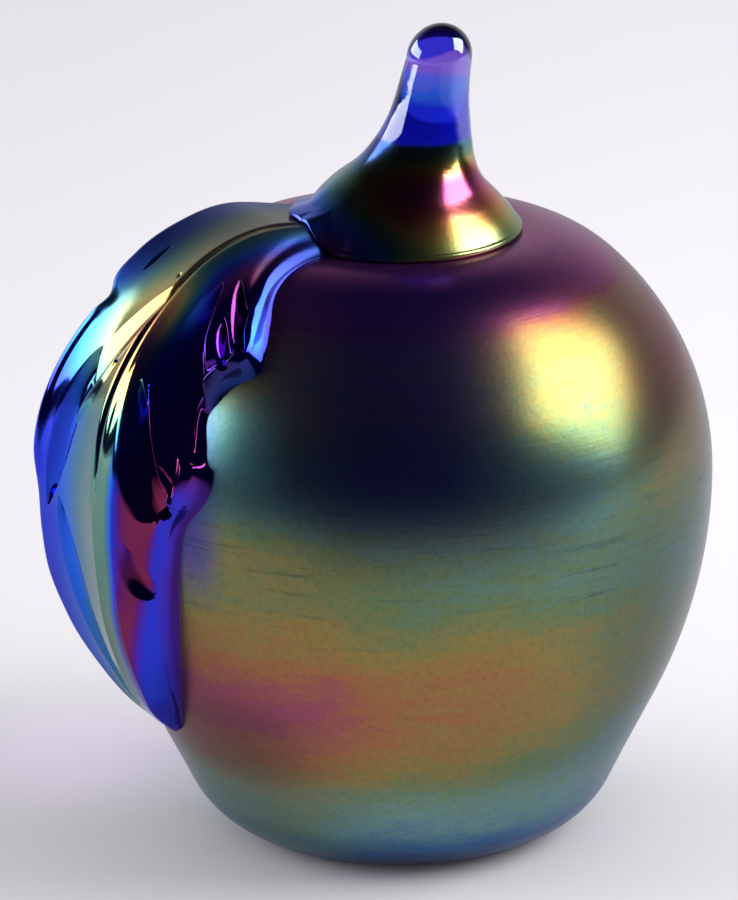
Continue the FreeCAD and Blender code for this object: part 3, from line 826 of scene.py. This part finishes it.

# %% [markdown]
# ## The studio
#
# A mirror-like film shows its surroundings more than itself. The lower half of the apple
# mirrors the pale table, and everything above mirrors the room. The camera looks down on the
# table, so the pale background is the table's own colour, and not more light. The table is
# darker towards the camera, mostly below the picture, where only the film mirrors it, and on
# its left side, both painted shade, and a faint lilac patch at the apple's left is a painted
# reflection of the film.

# %% Table
TABLE_FRONT, TABLE_BACK, TABLE_SIDE = -900, 2500, 1600
corners = [(-TABLE_SIDE, TABLE_FRONT), (TABLE_SIDE, TABLE_FRONT),
           (TABLE_SIDE, TABLE_BACK), (-TABLE_SIDE, TABLE_BACK)]
table_mesh = bpy.data.meshes.new("table_top")
table_mesh.from_pydata([(px * MM, py * MM, 0.0) for px, py in corners], [], [(0, 1, 2, 3)])
table_top = bpy.data.objects.new("table_top", table_mesh)
bpy.context.scene.collection.objects.link(table_top)

table = Finish(bpy.data.materials.new("pale_table"))
table_place = table.node("ShaderNodeTexCoord", output=3)
x_mm, y_mm, z_mm = table.millimetres(table_place)
table_colour = table.tint(shade(196, 194, 195), [
    (1.00, shade(201, 199, 200), (y_mm, -170, 90)),
    (1.00, shade(196, 194, 196), (y_mm, 120, 420)),
])
shaded = table.blend(1.0, table_colour, shade(238, 236, 240), "MULTIPLY")
lilac_reflection_distance = ((x_mm + 42) ** 2 + (y_mm - 22) ** 2) ** 0.5
table_colour = table.tint(table_colour, [
    # painted shade on the left side and at the front, and the lilac patch, a painted reflection
    (0.60, shaded, (x_mm, 60, -110)),
    (0.70, shade(70, 70, 78), (y_mm, -60, -420)),
    # painted reflection: a lilac glow of the apple's film on the table
    (0.90, shade(218, 211, 229), (lilac_reflection_distance, 30, 0)),
])
table.output(table.node("ShaderNodeBsdfPrincipled", sockets={
    "Base Color": table_colour, "Roughness": 0.7, "Specular IOR Level": 0.2}))
table_top.data.materials.append(table.owner)
print("table:", 2 * TABLE_SIDE, "by", TABLE_BACK - TABLE_FRONT, "mm")

# %% [markdown]
# ## The room
#
# What the film mirrors above the table is the world: a dark room overhead and behind the
# camera, and a pale glow low down behind the apple. The camera and the clear glass see the
# pale colour everywhere, and all other rays get an even soft light.

# %% World
studio = Finish(bpy.data.worlds.new("studio"))
bpy.context.scene.world = studio.owner
rays = studio.node("ShaderNodeLightPath").socket.node.outputs
is_camera, is_glossy, is_clear = (Value(studio, rays[name]) for name in
                                  ("Is Camera Ray", "Is Glossy Ray", "Is Transmission Ray"))
direction = studio.node("ShaderNodeTexCoord", output=0)
away = studio.node("ShaderNodeSeparateXYZ", sockets={0: direction}).socket.node.outputs
behind, above = Value(studio, away[1]), Value(studio, away[2])
PALE, ROOM = shade(200, 199, 202), shade(9, 9, 20)
backdrop = studio.between(0.15, 0.98, behind) ** 2 * (1 - studio.between(0.12, 0.85, above))
mirrored = studio.blend(backdrop, ROOM, PALE)
seen = studio.blend(is_glossy, shade(218, 218, 225), mirrored)
seen = studio.blend(is_camera + is_clear, seen, PALE)
ROOM_STRENGTH = 1.35
glow = studio.node("ShaderNodeBackground", sockets={"Color": seen, "Strength": ROOM_STRENGTH})
studio.output(glow, "ShaderNodeOutputWorld")
print("room:", len(studio.tree.nodes), "nodes")

# %% [markdown]
# ## The lamps
#
# Two soft lamps stand at the sides, each a lit rectangle that faces the apple. The right one
# is strong and turned on its corner, and its mirror image is the big highlight.


# %% Lamps
LAMP_AIM = Vector((0, 0, 60)) * MM


def soft_lamp(name, azimuth, elevation, distance, width, height, radiance, roll=0):
    """A soft lamp that faces the apple; azimuth 0 is the camera's side, 90 the right."""
    lamp = bpy.data.objects.new(name, bpy.data.lights.new(name, "AREA"))
    bpy.context.scene.collection.objects.link(lamp)
    around, up = math.radians(azimuth), math.radians(elevation)
    towards = Vector((math.sin(around) * math.cos(up), -math.cos(around) * math.cos(up),
                      math.sin(up)))
    lamp.location = LAMP_AIM + towards * distance
    lamp.rotation_mode = "QUATERNION"
    level = (-towards).to_track_quat("-Z", "Y")
    lamp.rotation_quaternion = level @ Quaternion((0, 0, 1), math.radians(roll))
    lamp.data.shape, lamp.data.size, lamp.data.size_y = "RECTANGLE", width, height
    lamp.data.energy = radiance * math.pi * width * height
    lamp.visible_camera = False
    print(f"{name}: {lamp.data.energy:.2f} W")
    return lamp


soft_lamp("key_right", 87, 31.5, 0.92, 0.63, 0.62, 8.4, roll=42)
soft_lamp("fill_left", -104, 16, 0.9, 0.92, 0.34, 6.0)
